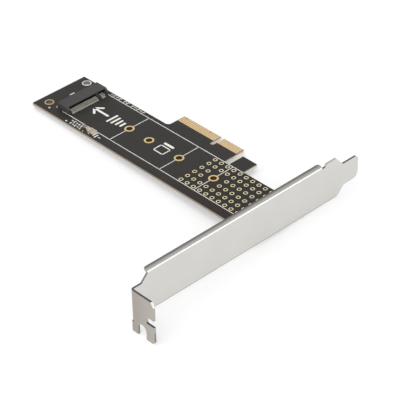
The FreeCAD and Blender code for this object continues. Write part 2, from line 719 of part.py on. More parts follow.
def build_plate(body):
    """The flat plate with its tongue, up to where the folds begin."""
    plate = new_sketch(body, "PlateOutline", "YZ_Plane", PLATE_INNER)
    nick = f"({TAB_FACE} + Sizes.nick_place)"
    corners = [
        (TAB_FOLD, PLATE_BOTTOM),
        (f"({TAB_FACE} + Sizes.plate_bottom_end)", PLATE_BOTTOM),
        (f"({TAB_FACE} + Sizes.tongue_root)", "Sizes.tongue_bottom"),
        (f"({TAB_FACE} + Sizes.bracket_length)", "Sizes.tongue_bottom"),
        (f"({TAB_FACE} + Sizes.bracket_length)", TONGUE_TOP),
        (f"({TAB_FACE} + Sizes.tongue_slant_end)", TONGUE_TOP),
        (f"({TAB_FACE} + Sizes.tongue_slant_start)", PLATE_TOP),
        (f"({nick} + Sizes.nick_width)", PLATE_TOP),
        (f"({nick} + Sizes.nick_width / 4)", f"({PLATE_TOP} - Sizes.nick_depth)"),
        (f"({nick} - Sizes.nick_width / 4)", f"({PLATE_TOP} - Sizes.nick_depth)"),
        (FLANGE_STOP, FLANGE_FOLD),
        (FLANGE_START, FLANGE_FOLD),
        (f"({TAB_FACE} + Sizes.neck_length)", "Sizes.neck_top"),
        (TAB_FOLD, "Sizes.neck_top"),
    ]
    draw_outline(plate, corners)
    base = add_pad(body, "Plate", plate, "Sizes.sheet")
    start = value(TAB_FACE)
    tongue_end = start + size("bracket_length")
    top = [(tongue_end, value(TONGUE_TOP))]
    base = add_fillet(body, "TongueTop", base, 0, top, "Sizes.tongue_top_corner")
    bottom = [(tongue_end, size("tongue_bottom"))]
    base = add_fillet(body, "TongueBottom", base, 0, bottom, "Sizes.tongue_bottom_corner")
    corner = [(start + size("plate_bottom_end"), -size("plate_drop"))]
    add_fillet(body, "PlateCorner", base, 0, corner, "Sizes.plate_corner")


def build_flange(body):
    """The stiffening flange along the upper edge of the plate, with its fold."""
    length = "(Sizes.flange_end - Sizes.flange_start)"
    fold = new_sketch(body, "FlangeFold", "XZ_Plane", f"(-{FLANGE_STOP})")
    draw_fold(fold, f"({PLATE_INNER} - Sizes.bend_radius)", FLANGE_FOLD, 0)
    add_pad(body, "FlangeBend", fold, length)

    flange = new_sketch(body, "FlangeOutline", "XY_Plane", f"({PLATE_TOP} - Sizes.sheet)")
    back = "(Sizes.bracket_face - Sizes.flange_depth)"
    front = f"({PLATE_INNER} - Sizes.bend_radius)"
    corners = [(back, FLANGE_START), (front, FLANGE_START), (front, FLANGE_STOP), (back, FLANGE_STOP)]
    draw_outline(flange, corners)
    base = add_pad(body, "Flange", flange, "Sizes.sheet")
    ends = [(value(back), value(FLANGE_START)), (value(back), value(FLANGE_STOP))]
    add_fillet(body, "FlangeEnds", base, 2, ends, "Sizes.flange_corner")


def build_tab(body):
    """The fastening tab, folded out from the plate, with its notch and screw slot."""
    fold = new_sketch(body, "TabFold", "XY_Plane", PLATE_BOTTOM)
    tab_start = "(Sizes.bracket_face + Sizes.bend_radius)"
    draw_fold(fold, tab_start, TAB_FOLD, 2)
    add_pad(body, "TabBend", fold, f"(Sizes.neck_top - {PLATE_BOTTOM})")

    tab = new_sketch(body, "TabOutline", "XZ_Plane", "Sizes.tab_seat")
    slot_middle = f"({PLATE_INNER} + Sizes.screw_slot_offset)"
    slot_left = f"({slot_middle} - Sizes.screw_slot / 2)"
    slot_right = f"({slot_middle} + Sizes.screw_slot / 2)"
    slot_centre = "(-Sizes.screw_slot_top - Sizes.screw_slot / 2)"
    notch_end = f"({TAB_EDGE} - Sizes.tab_notch_depth)"
    notch_floor = "(Sizes.tab_notch_top - Sizes.tab_notch_height)"
    foot = "(-Sizes.tab_drop)"
    foot_top = f"({PLATE_BOTTOM} - Sizes.tab_relief)"
    corners = [
        (tab_start, "Sizes.neck_top"),
        (tab_start, foot_top),
        (f"({PLATE_INNER} + Sizes.foot_start)", foot_top),
        (f"({PLATE_INNER} + Sizes.foot_start)", foot),
        (slot_left, foot),
        (slot_left, slot_centre),
        (slot_right, slot_centre),
        (slot_right, foot),
        (TAB_EDGE, foot),
        (TAB_EDGE, notch_floor),
        (notch_end, notch_floor),
        (notch_end, "Sizes.tab_notch_top"),
        (TAB_EDGE, "Sizes.tab_notch_top"),
        (TAB_EDGE, "(Sizes.neck_top - Sizes.tab_bevel_down)"),
        (f"({TAB_EDGE} - Sizes.tab_bevel_along)", "Sizes.neck_top"),
    ]
    draw_outline(tab, corners)
    add_pad(body, "Tab", tab, "Sizes.sheet")

    slot_end = new_sketch(body, "SlotEnd", "XZ_Plane", "Sizes.tab_seat")
    draw_circle(slot_end, slot_middle, slot_centre, "Sizes.screw_slot")
    base = add_through_cut(body, "SlotRoundEnd", slot_end)
    corner = [(value(TAB_EDGE), value(foot))]
    add_fillet(body, "FootCorner", base, 1, corner, "Sizes.foot_corner")


def build_ear(body, name, middle):
    """An ear under the solder side of the board: an angle whose short leg is welded to the plate."""
    ear = new_sketch(body, name + "Outline", "XZ_Plane", f"(-{middle} - Sizes.ear_width / 2)")
    leg = f"({PLATE_INNER} - Sizes.sheet)"
    end = f"({PLATE_INNER} - Sizes.ear_reach)"
    corners = [
        (PLATE_INNER, "0"),
        (end, "0"),
        (end, "(-Sizes.sheet)"),
        (f"({leg} - Sizes.bend_radius)", "(-Sizes.sheet)"),
        (leg, "(-Sizes.sheet - Sizes.bend_radius)"),
        (leg, PLATE_BOTTOM),
        (PLATE_INNER, PLATE_BOTTOM),
    ]
    draw_outline(ear, corners)
    base = add_pad(body, name, ear, "Sizes.ear_width")
    half = size("ear_width") / 2
    tips = [(value(end), value(middle) - half), (value(end), value(middle) + half)]
    add_fillet(body, name + "Corners", base, 2, tips, "Sizes.ear_corner")


def build_slot_bracket():
    """The folded slot bracket: plate with its tongue, stiffening flange, fastening tab and two ears."""
    body = new_body("slot_bracket")
    build_plate(body)
    build_flange(body)
    build_tab(body)
    for name, middle in (("LowerEar", LOWER_EAR), ("UpperEar", UPPER_EAR)):
        build_ear(body, name, middle)
    holes = new_sketch(body, "EarHoles", "XY_Plane")
    for across in (LOWER_EAR, UPPER_EAR):
        draw_circle(holes, EAR_SCREW, across, "Sizes.ear_bore")
    add_through_cut(body, "EarBores", holes)
    return body


def turn(body, corners):
    """A piece turned round its own upright axis from half a section."""
    profile = new_sketch(body, "Profile_" + body.Label, "XZ_Plane")
    draw_outline(profile, corners)
    turned = body.newObject("PartDesign::Revolution", "Turned_" + body.Label)
    turned.Profile = profile
    turned.ReferenceAxis = (profile, ["V_Axis"])
    turned.Angle = 360
    doc.recompute()


def build_bracket_screws():
    """Two screws with a bevelled head and a cross recess, from the component side into the ears."""
    screws = []
    head = "(Sizes.screw_head / 2)"
    shank = "(Sizes.screw_shank / 2)"
    corners = [
        ("0", "-Sizes.screw_length"),
        (shank, "-Sizes.screw_length"),
        (shank, "0"),
        (head, "0"),
        (head, "(Sizes.screw_head_height - Sizes.screw_dome)"),
        (f"({head} - Sizes.screw_dome)", "Sizes.screw_head_height"),
        ("0", "Sizes.screw_head_height"),
    ]
    arm = "(Sizes.recess_span / 2)"
    side = "(Sizes.recess_width / 2)"
    quarter = [(arm, side), (side, side), (side, arm)]
    cross = [(f"({along})", f"({across})") for along, across in quarter]
    cross += [(f"(-{across})", f"({along})") for along, across in quarter]
    cross += [(f"(-{along})", f"(-{across})") for along, across in quarter]
    cross += [(f"({across})", f"(-{along})") for along, across in quarter]
    for label, middle in (("lower_screw", LOWER_EAR), ("upper_screw", UPPER_EAR)):
        body = new_body(label)
        turn(body, corners)
        recess = new_sketch(body, "Cross_" + label, "XY_Plane", "Sizes.screw_head_height")
        draw_outline(recess, cross)
        before = body.Shape.Volume
        pocket = body.newObject("PartDesign::Pocket", "Recess_" + label)
        pocket.Profile = recess
        pocket.setExpression("Length", "Sizes.recess_depth")
        doc.recompute()
        if body.Shape.Volume >= before:
            raise ValueError(label + " has no recess")
        put(body, EAR_SCREW, middle, "Sizes.board_thickness")
        screws.append(body)
    return add_group("bracket_screws", screws)


def check(pieces):
    """Stops if anything in the document failed or a piece is empty or unsound."""
    failed = [obj.Name for obj in doc.Objects if "Invalid" in obj.State or "Error" in obj.State]
    if failed:
        raise ValueError("failed: " + ", ".join(failed))
    for piece in pieces:
        if piece.Shape.isNull() or not piece.Shape.isValid() or piece.Shape.Volume <= 0:
            raise ValueError(piece.Label + " has no sound shape")


pieces = [build_board()]
pieces.append(build_edge_contacts("component_side_contacts", (17, 31), "Sizes.board_thickness"))
pieces.append(build_edge_contacts("solder_side_contacts", (1,), "-Sizes.plating"))
pieces.extend(build_plated_hole(*hole) for hole in plated_holes())
pieces.append(build_socket_housing())
pieces.append(build_socket_contacts("socket_contacts_lower", "lower"))
pieces.append(build_socket_contacts("socket_contacts_upper", "upper"))
pieces.append(build_hold_down("hold_down_lower", -1))
pieces.append(build_hold_down("hold_down_upper", 1))
for chip in ("large_chip", "small_chip"):
    pieces.extend(build_chip(chip))
pieces.append(build_slot_bracket())
pieces.append(build_bracket_screws())

doc.recompute()
check(pieces)
os.makedirs("parts", exist_ok=True)
for piece in pieces:
    piece.Shape.exportStep(os.path.join("parts", piece.Label + ".step"))
    box = piece.Shape.BoundBox
    print(f"{piece.Label}: {len(piece.Shape.Solids)} solids, {piece.Shape.Volume:.2f} mm3, Z {box.ZMin:.2f} to {box.ZMax:.2f}")
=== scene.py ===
import math

import bmesh
import bpy
import numpy as np
from mathutils import Matrix, Vector


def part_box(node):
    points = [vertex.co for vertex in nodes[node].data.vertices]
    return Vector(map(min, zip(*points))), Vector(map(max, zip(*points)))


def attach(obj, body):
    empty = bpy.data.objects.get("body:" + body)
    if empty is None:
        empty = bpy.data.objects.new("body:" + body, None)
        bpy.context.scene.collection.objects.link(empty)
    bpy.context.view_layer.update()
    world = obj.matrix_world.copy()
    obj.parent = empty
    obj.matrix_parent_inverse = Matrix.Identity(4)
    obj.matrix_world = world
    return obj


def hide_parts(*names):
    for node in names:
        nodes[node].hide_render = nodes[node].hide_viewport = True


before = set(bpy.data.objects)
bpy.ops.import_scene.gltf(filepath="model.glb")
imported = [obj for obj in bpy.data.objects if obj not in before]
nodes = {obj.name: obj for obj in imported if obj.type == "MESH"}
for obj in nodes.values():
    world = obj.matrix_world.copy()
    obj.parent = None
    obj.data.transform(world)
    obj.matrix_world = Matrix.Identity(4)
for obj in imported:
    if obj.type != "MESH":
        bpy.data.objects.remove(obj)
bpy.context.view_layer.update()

# Lengths below are millimetres in the card's own frame: origin in the middle of the key notch at the
# finger tips, X towards the bracket, Y out of the finger tips, Z up from the solder side.
MM = 0.001


def box_mm(node):
    """Lowest and highest corner of a solid, in millimetres."""
    low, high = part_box(node)
    return np.array(low) / MM, np.array(high) / MM


def middle_mm(node):
    """Middle of a solid's box, in millimetres."""
    low, high = box_mm(node)
    return (low + high) / 2


# board and the places of a module on it
BOARD_LOW, BOARD_HIGH = box_mm("circuit_board")
BOARD_TOP = box_mm("component_side_contacts")[0][2]
BOARD_UNDER = 0.0
MODULE_AXIS = middle_mm("plated_hole_30")[1]
MODULE_HOLES = {length: middle_mm(f"plated_hole_{length}")[0] for length in (30, 42, 60, 80)}
MODULE_STOP = MODULE_HOLES[30] - 30.0
LAND_LOW, LAND_HIGH = box_mm("plated_hole_30")
LAND_RADIUS = (LAND_HIGH[0] - LAND_LOW[0]) / 2

# slot bracket: its sheet, how far tab and flange reach from the plate's outer face, and the plate's
# lower edge with the strip above it that carries a painted reflection of the shaded floor
SHEET = 0.86
TAB_LENGTH = 11.43
FLANGE_DEPTH = 2.5
BRACKET_LOW, BRACKET_HIGH = box_mm("slot_bracket")
PLATE_FACE = BRACKET_HIGH[0] - TAB_LENGTH
PLATE_LOW = -2.4
PAINTED_STRIP_HEIGHT = 0.45

# the flange's painted darker reflection starts between these depths below its face, and grows from this
# far behind the plate's face to its free edge; other faces that look up are darkened this much all over,
# as duller sheared edges and painted darker reflection. The tab's painted shade fades towards this far
# from the plate's face, down to this share.
FLANGE_FADE_LOW = 1.2
FLANGE_FADE_HIGH = 1.0
FLANGE_DARKENING_START = 0.75
DULL_AND_SHADED_UPWARDS = 0.9
TAB_FADE_END = 11.0
TAB_FADE_LEFT = 0.75

# camera: where it stands, what it looks at, its roll and its focal length in pixels of a frame 400
# pixels wide
PHOTO_WIDTH = 400
CAMERA_PLACE = (469.45, -447.08, 443.26)
CAMERA_AIM = (23.18, -35.26, 0.0)
CAMERA_ROLL = math.radians(1.465)
FOCAL_PIXELS = 1915.1
SENSOR = 36.0

# module socket: end cheeks, how far the roof stands back from the lower jaw, the roof, and where the
# shade under it starts above the housing's foot and behind the module's stop
MOUTH_CHEEK = 0.9
ROOF_SETBACK = 1.65
ROOF_SHEET = 0.7
MOUTH_SHADE_FOOT = 0.9
MOUTH_SHADE_BACK = 0.3

# cooling holes: their pattern about the module's axis, then the rings and the lining of each one
VIA_PITCH = 3.55
VIA_ROWS = 10
FIRST_VIA_ROW = 9.25
VIA_COLUMNS = (2.0, 5.9, 9.45)
VIA_KEEP_OFF = LAND_RADIUS + 0.9
VIA_SIDES = 28
VIA_LAND = 1.0
VIA_RING_BORE = 0.6
VIA_BARREL = 0.49
VIA_WALL = 0.04
RING_HEIGHT = 0.035
RING_EDGE = 0.03
RING_SUNK = 0.005

# white print: ink height, how far it goes into the lacquer, and the outline of a module
PRINT_HEIGHT = 0.02
PRINT_SUNK = 0.01
LINE_WIDTH = 0.3
OUTLINE_HALF = 11.0
LOWER_LINE_START = 0.3
LOWER_LINE_MARGIN = 1.0
UPPER_LINE_START = 3.0
UPPER_LINE_END = 86.0
LAND_MARGIN = 0.15

# white marks, measured from the module's stop and its axis: an arrow, bars behind it and a box
ARROW_TIP = 7.8
ARROW_SHAFT = 8.6
ARROW_HEAD = (3.0, 2.6)
ARROW_STROKES = (1.1, 1.05)
BARS_START = 19.2
BARS_PITCH = 2.2
BARS_REACH = (2.8, 2.3, 1.8, 1.3)
BARS_STROKE = 1.0
BOX_ALONG = (48.0, 53.4)
BOX_ACROSS = (-3.1, 1.3)
BOX_STROKES = (0.55, 0.5)
BOX_BAR = (48.4, 3.1, 53.0, 3.1, 1.2)

# rows of ticks: lengths in turn, widths, and how much a hook slants. Each row is its side, its middle,
# the start of each group with its number of ticks, their pitch, a tick's lean and its hook's length
TICK_LENGTHS = (1.2, 0.5, 1.0, 1.2, 0.3, 0.9, 0.6)
TICK_STROKE = 0.42
HOOK_STROKE = 0.36
HOOK_SLANT = 0.2
UPPER_TICKS = (1, 12.2, ((5.2, 4), (13.4, 2), (18.2, 5)), 1.7, 0.3, 0.8)
LOWER_TICKS = (-1, -12.6, ((8.3, 6),), 1.45, 0.35, 0.7)
LOWEST_TICKS = (-1, -14.3, ((9.0, 5),), 1.45, 0.35, 0.7)

# short strokes and dots: start, end and width
SMALL_MARKS = (
    (-5.8, -13.1, -5.75, -13.1, 0.85),
    (6.6, -14.5, 7.0, -14.5, 0.6),
    (17.4, -14.7, 17.5, -14.7, 0.45),
    (20.6, -14.3, 20.65, -14.3, 0.5),
    (24.3, -12.3, 24.3, -14.4, 0.5),
    (25.6, -13.2, 26.6, -13.2, 0.35),
    (-7.1, -0.5, -7.1, 1.6, 0.5),
)

# chip capacitors: how far the metal wraps over each end, its thickness there, the radius of round
# edges, and the distance under which seams are closed
LARGE_CHIP_WRAP = 0.6
SMALL_CHIP_WRAP = 0.5
CAP_THICKNESS = 0.1
CHIP_EDGE = 0.08
CAP_EDGE = 0.12
SEAM = 0.001

# solder at the chips' ends: its reach on the pad, its rise up the wall and the most of the wall that it
# may cover, and how far it goes into the wall, into the board and past the sides
SOLDER_REACH = 0.55
SOLDER_RISE = 0.6
SOLDER_SHARE = 0.6
SOLDER_INTO_WALL = 0.05
SOLDER_INTO_BOARD = 0.01
SOLDER_PAST = 0.02

# the card lies on three points: the plate's lower edge where its tongue starts, the foot of the tab and
# the far corner of the board
PLATE_TOUCH = 6.24
FOOT_INSET = 0.3
BOARD_TOUCH = -9.8
FLOOR_HALF = 1500.0
FLOOR_GAP = 0.02

# the floor is shaded under the board: from this far inside its far end and its long edge, up to this Y,
# and up to this far from the bracket
FLOOR_SHADE_INSET = 1.5
FLOOR_SHADE_START = 6.5
FLOOR_SHADE_END = -13.5
FLOOR_SHADE_BACK = 16.0
FLOOR_GLOW = 0.465
FLOOR_SHADE_GLOW = 0.12

# surround and window: the way to where each is brightest, the cosines between which it brightens, and
# its lowest and highest strength
SURROUND = ((0.25, -0.85, 0.46), -0.05, 0.65, 0.6, 1.2)
WINDOW = ((0.83, 0.553, 0.06), 0.93, 0.98, 0.0, 2.5)
LAMP_WAY = (0.0, -0.3, 0.95)
LAMP_STRENGTH = 0.6
LAMP_WIDTH = math.radians(40)

# finishes: wide faint clouds in each fine grain, and the part of their product that spans its two tones
CLOUD_WIDTH = 14.0
SPREAD_LOW = 0.12
SPREAD_HIGH = 0.40

# board's finish: width of its mottling and of its glass threads, where it turns browner over copper,
# the bare strip of the fingers, the line in its sawn edge, from how far under the top it starts and is
# full, how much lower it starts on the edge away from the fingers, and roughness
MOTTLE_WIDTH = 5.0
THREAD_WIDTH = 0.5
THREAD_RELIEF = 0.01
COPPER_START = 5.0
COPPER_FULL = 12.0
FINGER_ROOT = -4.6
FINGERS_STOP = 14.0
EDGE_LINE_START = 0.6
EDGE_LINE_FULL = 0.3
EDGE_LINE_MORE = 0.45
LACQUER_ROUGHNESS = 0.48
SAWN_ROUGHNESS = 0.85

# cosines that sort faces by the way they look
FLAT_ON_BOARD = 0.95
FLAT_ON_LAND = 0.7
SQUARE_ON = 0.9
EDGEWISE = 0.5
UPWARDS_FADE = (0.55, 0.75)
TAB_SIDE_FADE = (-0.85, -0.15)

# a Mix node's sockets, first those for colours and then those for numbers, which have the same names
AMOUNT = 0
FIRST = 6
SECOND = 7
MIXED = 2
FIRST_NUMBER = 2
SECOND_NUMBER = 3
MIXED_NUMBER = 0


def linear(colour):
    """An sRGB hex colour as linear light.

    A channel c up to 0.04045 is divided by 12.92, and any other becomes ((c + 0.055) / 1.055) ^ 2.4.
    """
    channels = [int(colour[start:start + 2], 16) / 255 for start in (1, 3, 5)]
    return [c / 12.92 if c <= 0.04045 else ((c + 0.055) / 1.055) ** 2.4 for c in channels] + [1.0]


def add(tree, kind, sockets=None, **settings):
    """Adds one node with its settings. A socket gets a plain value or a link from another's output."""
    node = tree.nodes.new(kind)
    for name, setting in settings.items():
        setattr(node, name, setting)
    for name, source in (sockets or {}).items():
        if isinstance(source, bpy.types.NodeSocket):
            tree.links.new(source, node.inputs[name])
        else:
            node.inputs[name].default_value = source
    return node


def new_material(name):
    """A named material with one surface shader, given back as material, node tree and shader."""
    material = bpy.data.materials.new(name)
    material.use_nodes = True
    tree = material.node_tree
    tree.nodes.clear()
    shader = add(tree, "ShaderNodeBsdfPrincipled")
    add(tree, "ShaderNodeOutputMaterial", {"Surface": shader.outputs["BSDF"]})
    return material, tree, shader


def place_on_card(tree):
    """A point's place on the card, as one socket and as a node with an output for each of X, Y and Z."""
    place = add(tree, "ShaderNodeTexCoord").outputs["Object"]
    return place, add(tree, "ShaderNodeSeparateXYZ", {"Vector": place})


def way_faced(tree):
    """The way a face looks, as a node with an output for each of X, Y and Z."""
    facing = add(tree, "ShaderNodeNewGeometry")
    return add(tree, "ShaderNodeSeparateXYZ", {"Vector": facing.outputs["Normal"]})


def lying_flat(tree, normal, limit):
    """A socket that gives 1 on faces that look up or down, past the limit, and 0 on walls."""
    upright = add(tree, "ShaderNodeMath", {0: normal.outputs["Z"]}, operation="ABSOLUTE")
    flat = add(tree, "ShaderNodeMath", {0: upright.outputs["Value"], 1: limit}, operation="GREATER_THAN")
    return flat.outputs["Value"]


def inside_box(tree, split, low, high):
    """A socket that gives 1 inside a box of the card's frame and 0 outside it.

    It is the product of one test for each side. The corners are in millimetres, None for an open side.
    """
    inside = 1.0
    for axis, start, end in zip("XYZ", low, high):
        for limit, operation in ((start, "GREATER_THAN"), (end, "LESS_THAN")):
            if limit is not None:
                sockets = {0: split.outputs[axis], 1: limit * MM}
                test = add(tree, "ShaderNodeMath", sockets, operation=operation)
                sockets = {0: inside, 1: test.outputs["Value"]}
                inside = add(tree, "ShaderNodeMath", sockets, operation="MULTIPLY").outputs["Value"]
    return inside


def speckled(name, light, dark, grain_mm, rough, metallic, relief_mm, stretch=(1, 1, 1)):
    """A finish of two close tones in a fine grain, which also drives its roughness and its relief.

    Real grains of these finishes are finer than a pixel, so they are drawn at 0.2 to 0.5 mm to show.
    """
    material, tree, shader = new_material(name)
    place = add(tree, "ShaderNodeTexCoord").outputs["Object"]
    stretched = add(tree, "ShaderNodeMapping", {"Vector": place, "Scale": stretch})
    grain = add(
        tree,
        "ShaderNodeTexNoise",
        {"Vector": stretched.outputs["Vector"], "Scale": 1 / (grain_mm * MM), "Detail": 3.0},
    )
    cloud = add(
        tree, "ShaderNodeTexNoise", {"Vector": place, "Scale": 1 / (CLOUD_WIDTH * MM), "Detail": 2.0}
    )
    product = add(
        tree, "ShaderNodeMath", {0: grain.outputs["Fac"], 1: cloud.outputs["Fac"]}, operation="MULTIPLY"
    )
    spread = add(
        tree,
        "ShaderNodeMapRange",
        {"Value": product.outputs["Value"], "From Min": SPREAD_LOW, "From Max": SPREAD_HIGH},
    )
    tone = add(
        tree,
        "ShaderNodeMix",
        {AMOUNT: spread.outputs["Result"], FIRST: linear(dark), SECOND: linear(light)},
        data_type="RGBA",
    )
    roughness = add(
        tree,
        "ShaderNodeMapRange",
        {"Value": grain.outputs["Fac"], "To Min": rough[0], "To Max": rough[1]},
    )
    relief = add(
        tree,
        "ShaderNodeBump",
        {"Height": grain.outputs["Fac"], "Strength": 0.4, "Distance": relief_mm * MM},
    )
    tree.links.new(tone.outputs[MIXED], shader.inputs["Base Color"])
    tree.links.new(roughness.outputs["Result"], shader.inputs["Roughness"])
    tree.links.new(relief.outputs["Normal"], shader.inputs["Normal"])
    shader.inputs["Metallic"].default_value = metallic
    return material, tree, shader


def shaded_in_mouth(finish, shade):
    """The same finish, dark inside the socket's mouth, where no light reaches under the roof."""
    material, tree, shader = finish
    low, high = box_mm("socket_housing")
    amount = inside_box(
        tree,
        place_on_card(tree)[1],
        (MODULE_STOP - MOUTH_SHADE_BACK, low[1] + MOUTH_CHEEK, low[2] + MOUTH_SHADE_FOOT),
        (high[0] - ROOF_SETBACK, high[1] - MOUTH_CHEEK, high[2] - ROOF_SHEET),
    )
    plain = shader.inputs["Base Color"].links[0].from_socket
    tone = add(
        tree,
        "ShaderNodeMix",
        {AMOUNT: amount, FIRST: plain, SECOND: linear(shade)},
        data_type="RGBA",
    )
    tree.links.new(tone.outputs[MIXED], shader.inputs["Base Color"])
    return material


def board_face_colour(tree, place, split):
    """Mottled charcoal lacquer, browner over the copper under a module, and none between the fingers."""
    mottle = add(
        tree, "ShaderNodeTexNoise", {"Vector": place, "Scale": 1 / (MOTTLE_WIDTH * MM), "Detail": 4.0}
    )
    lacquer = add(
        tree,
        "ShaderNodeMix",
        {AMOUNT: mottle.outputs["Fac"], FIRST: linear("#2b2926"), SECOND: linear("#33312e")},
        data_type="RGBA",
    )
    over_copper = add(
        tree,
        "ShaderNodeMapRange",
        {"Value": split.outputs["X"], "From Min": COPPER_START * MM, "From Max": COPPER_FULL * MM},
        interpolation_type="SMOOTHSTEP",
    )
    under_module = add(
        tree,
        "ShaderNodeMath",
        {0: split.outputs["Y"], 1: (MODULE_AXIS + OUTLINE_HALF) * MM},
        operation="LESS_THAN",
    )
    copper = add(
        tree,
        "ShaderNodeMath",
        {0: over_copper.outputs["Result"], 1: under_module.outputs["Value"]},
        operation="MULTIPLY",
    )
    browned = add(
        tree,
        "ShaderNodeMix",
        {AMOUNT: copper.outputs["Value"], FIRST: lacquer.outputs[MIXED], SECOND: linear("#2e2723")},
        data_type="RGBA",
    )
    fingers = inside_box(tree, split, (None, FINGER_ROOT, None), (FINGERS_STOP, None, None))
    faces = add(
        tree,
        "ShaderNodeMix",
        {AMOUNT: fingers, FIRST: browned.outputs[MIXED], SECOND: linear("#b98f74")},
        data_type="RGBA",
    )
    return faces.outputs[MIXED]


def board_edge_colour(tree, split, normal):
    """Pale sawn laminate, with a brown line where copper and lacquer end at the component side.

    The edge away from the fingers is greyer, and its line starts lower.
    """
    away = add(
        tree, "ShaderNodeMath", {0: normal.outputs["Y"], 1: -SQUARE_ON}, operation="LESS_THAN"
    )
    raised = add(
        tree,
        "ShaderNodeMath",
        {0: away.outputs["Value"], 1: EDGE_LINE_MORE * MM, 2: split.outputs["Z"]},
        operation="MULTIPLY_ADD",
    )
    line = add(
        tree,
        "ShaderNodeMapRange",
        {
            "Value": raised.outputs["Value"],
            "From Min": (BOARD_TOP - EDGE_LINE_START) * MM,
            "From Max": (BOARD_TOP - EDGE_LINE_FULL) * MM,
        },
    )
    sawn = add(
        tree,
        "ShaderNodeMix",
        {AMOUNT: away.outputs["Value"], FIRST: linear("#e2ded6"), SECOND: linear("#c4bcb4")},
        data_type="RGBA",
    )
    edge = add(
        tree,
        "ShaderNodeMix",
        {AMOUNT: line.outputs["Result"], FIRST: sawn.outputs[MIXED], SECOND: linear("#958a80")},
        data_type="RGBA",
    )
    return edge.outputs[MIXED]


def lacquered_glass_fibre():
    """Glass-fibre laminate under a charcoal solder lacquer.

    The lacquer is satin, faintly mottled and browner over the copper of the cooling field. It leaves the
    sawn edges, the bevelled tips and the strip between the edge contacts bare: pale layered laminate.
    """
    material, tree, shader = new_material("lacquered_glass_fibre")
    place, split = place_on_card(tree)
    normal = way_faced(tree)
    flat = lying_flat(tree, normal, FLAT_ON_BOARD)
    colour = add(
        tree,
        "ShaderNodeMix",
        {
            AMOUNT: flat,
            FIRST: board_edge_colour(tree, split, normal),
            SECOND: board_face_colour(tree, place, split),
        },
        data_type="RGBA",
    )
    # the threads of the glass cloth show faintly through the lacquer
    threads = add(
        tree, "ShaderNodeTexNoise", {"Vector": place, "Scale": 1 / (THREAD_WIDTH * MM), "Detail": 2.0}
    )
    relief = add(
        tree,
        "ShaderNodeBump",
        {"Height": threads.outputs["Fac"], "Strength": 0.25, "Distance": THREAD_RELIEF * MM},
    )
    roughness = add(
        tree,
        "ShaderNodeMapRange",
        {"Value": flat, "To Min": SAWN_ROUGHNESS, "To Max": LACQUER_ROUGHNESS},
    )
    tree.links.new(colour.outputs[MIXED], shader.inputs["Base Color"])
    tree.links.new(relief.outputs["Normal"], shader.inputs["Normal"])
    tree.links.new(roughness.outputs["Result"], shader.inputs["Roughness"])
    shader.inputs["Specular IOR Level"].default_value = 0.25
    return material


def tab_painted_shade(tree, split, normal):
    """Amount of the tab's painted shade: full on its outer face next to the fold, less towards its free
    end.
    """
    side = add(
        tree,
        "ShaderNodeMapRange",
        {
            "Value": normal.outputs["Y"],
            "From Min": TAB_SIDE_FADE[0],
            "From Max": TAB_SIDE_FADE[1],
            "To Min": 1.0,
            "To Max": 0.0,
        },
    )
    fade = add(
        tree,
        "ShaderNodeMapRange",
        {
            "Value": split.outputs["X"],
            "From Min": PLATE_FACE * MM,
            "From Max": (PLATE_FACE + TAB_FADE_END) * MM,
            "To Min": 1.0,
            "To Max": TAB_FADE_LEFT,
        },
    )
    return add(
        tree,
        "ShaderNodeMath",
        {0: side.outputs["Result"], 1: fade.outputs["Result"]},
        operation="MULTIPLY",
    )


def on_tab_edge(tree, split, normal):
    """1 on the sheared edges of the tab, which look along the card or up and down, and 0 elsewhere."""
    across = add(tree, "ShaderNodeMath", {0: normal.outputs["Y"]}, operation="ABSOLUTE")
    edgewise = add(
        tree, "ShaderNodeMath", {0: across.outputs["Value"], 1: EDGEWISE}, operation="LESS_THAN"
    )
    beyond_fold = inside_box(tree, split, (PLATE_FACE + SHEET, None, None), (None, None, None))
    return add(
        tree, "ShaderNodeMath", {0: edgewise.outputs["Value"], 1: beyond_fold}, operation="MULTIPLY"
    )


def upward_dullness_and_shade(tree, split, normal):
    """Amount of darkening on faces that look up, as duller edges and painted darker reflection: even,
    but on the flange a painted darker reflection from 0 to 1 at its free edge.
    """
    at_flange = add(
        tree,
        "ShaderNodeMapRange",
        {
            "Value": split.outputs["Z"],
            "From Min": (BRACKET_HIGH[2] - FLANGE_FADE_LOW) * MM,
            "From Max": (BRACKET_HIGH[2] - FLANGE_FADE_HIGH) * MM,
        },
    )
    upwards = add(
        tree,
        "ShaderNodeMapRange",
        {"Value": normal.outputs["Z"], "From Min": UPWARDS_FADE[0], "From Max": UPWARDS_FADE[1]},
    )
    towards_edge = add(
        tree,
        "ShaderNodeMapRange",
        {
            "Value": split.outputs["X"],
            "From Min": (PLATE_FACE - FLANGE_DEPTH) * MM,
            "From Max": (PLATE_FACE - FLANGE_DARKENING_START) * MM,
            "To Min": 1.0,
            "To Max": 0.0,
        },
    )
    depth = add(
        tree,
        "ShaderNodeMix",
        {
            AMOUNT: at_flange.outputs["Result"],
            FIRST_NUMBER: DULL_AND_SHADED_UPWARDS,
            SECOND_NUMBER: towards_edge.outputs["Result"],
        },
    )
    return add(
        tree,
        "ShaderNodeMath",
        {0: upwards.outputs["Result"], 1: depth.outputs[MIXED_NUMBER]},
        operation="MULTIPLY",
    )


def lower_edge_painted_reflection(tree, split, normal):
    """Amount of the painted reflection of the shaded floor: full at the lower edge of the plate's outer
    face, 0 at the top of the strip.
    """
    outward = add(
        tree, "ShaderNodeMath", {0: normal.outputs["X"], 1: SQUARE_ON}, operation="GREATER_THAN"
    )
    near_edge = add(
        tree,
        "ShaderNodeMapRange",
        {
            "Value": split.outputs["Z"],
            "From Min": PLATE_LOW * MM,
            "From Max": (PLATE_LOW + PAINTED_STRIP_HEIGHT) * MM,
            "To Min": 1.0,
            "To Max": 0.0,
        },
    )
    return add(
        tree,
        "ShaderNodeMath",
        {0: outward.outputs["Value"], 1: near_edge.outputs["Result"]},
        operation="MULTIPLY",
    )


